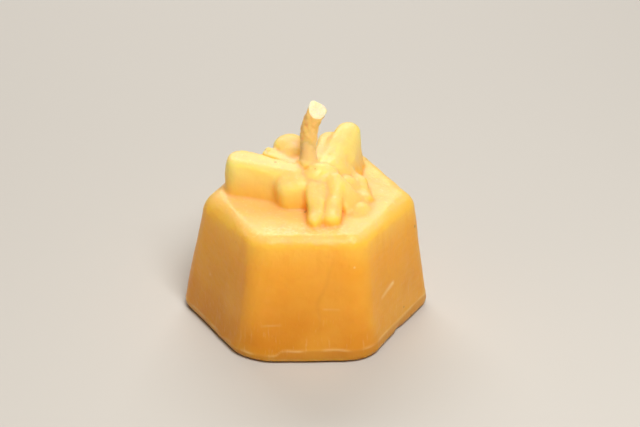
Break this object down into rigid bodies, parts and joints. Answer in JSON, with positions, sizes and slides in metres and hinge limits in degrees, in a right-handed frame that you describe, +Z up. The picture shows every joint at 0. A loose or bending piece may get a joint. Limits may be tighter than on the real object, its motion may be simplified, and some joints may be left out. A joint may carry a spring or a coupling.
{
  "type": "beeswax votive candle",
  "caption": "Tapered six-sided moulded beeswax votive with a bee in relief on its top face and a braided cotton wick bent at its cut tip.",
  "frame": {"origin": "middle of the flat base, on the surface the candle stands on", "axes": "+Z up through the wick, +X towards one corner of the hexagonal base, -Y through the middle of the front side"},
  "size_m": [0.0486, 0.0434, 0.0452],
  "materials": {
    "wax_body": "translucent golden beeswax, satin",
    "wax_base": "translucent golden beeswax, satin, slightly darker second pour",
    "wax_bee": "translucent pale golden beeswax, satin",
    "wick_cotton": "waxed square-braided cotton, pale at the cut end"
  },
  "bodies": {
    "root": {"candle_body": "wax_body", "base_pour": "wax_base", "bee_figure": "wax_bee", "wick": "wick_cotton"}
  },
  "joints": []
}
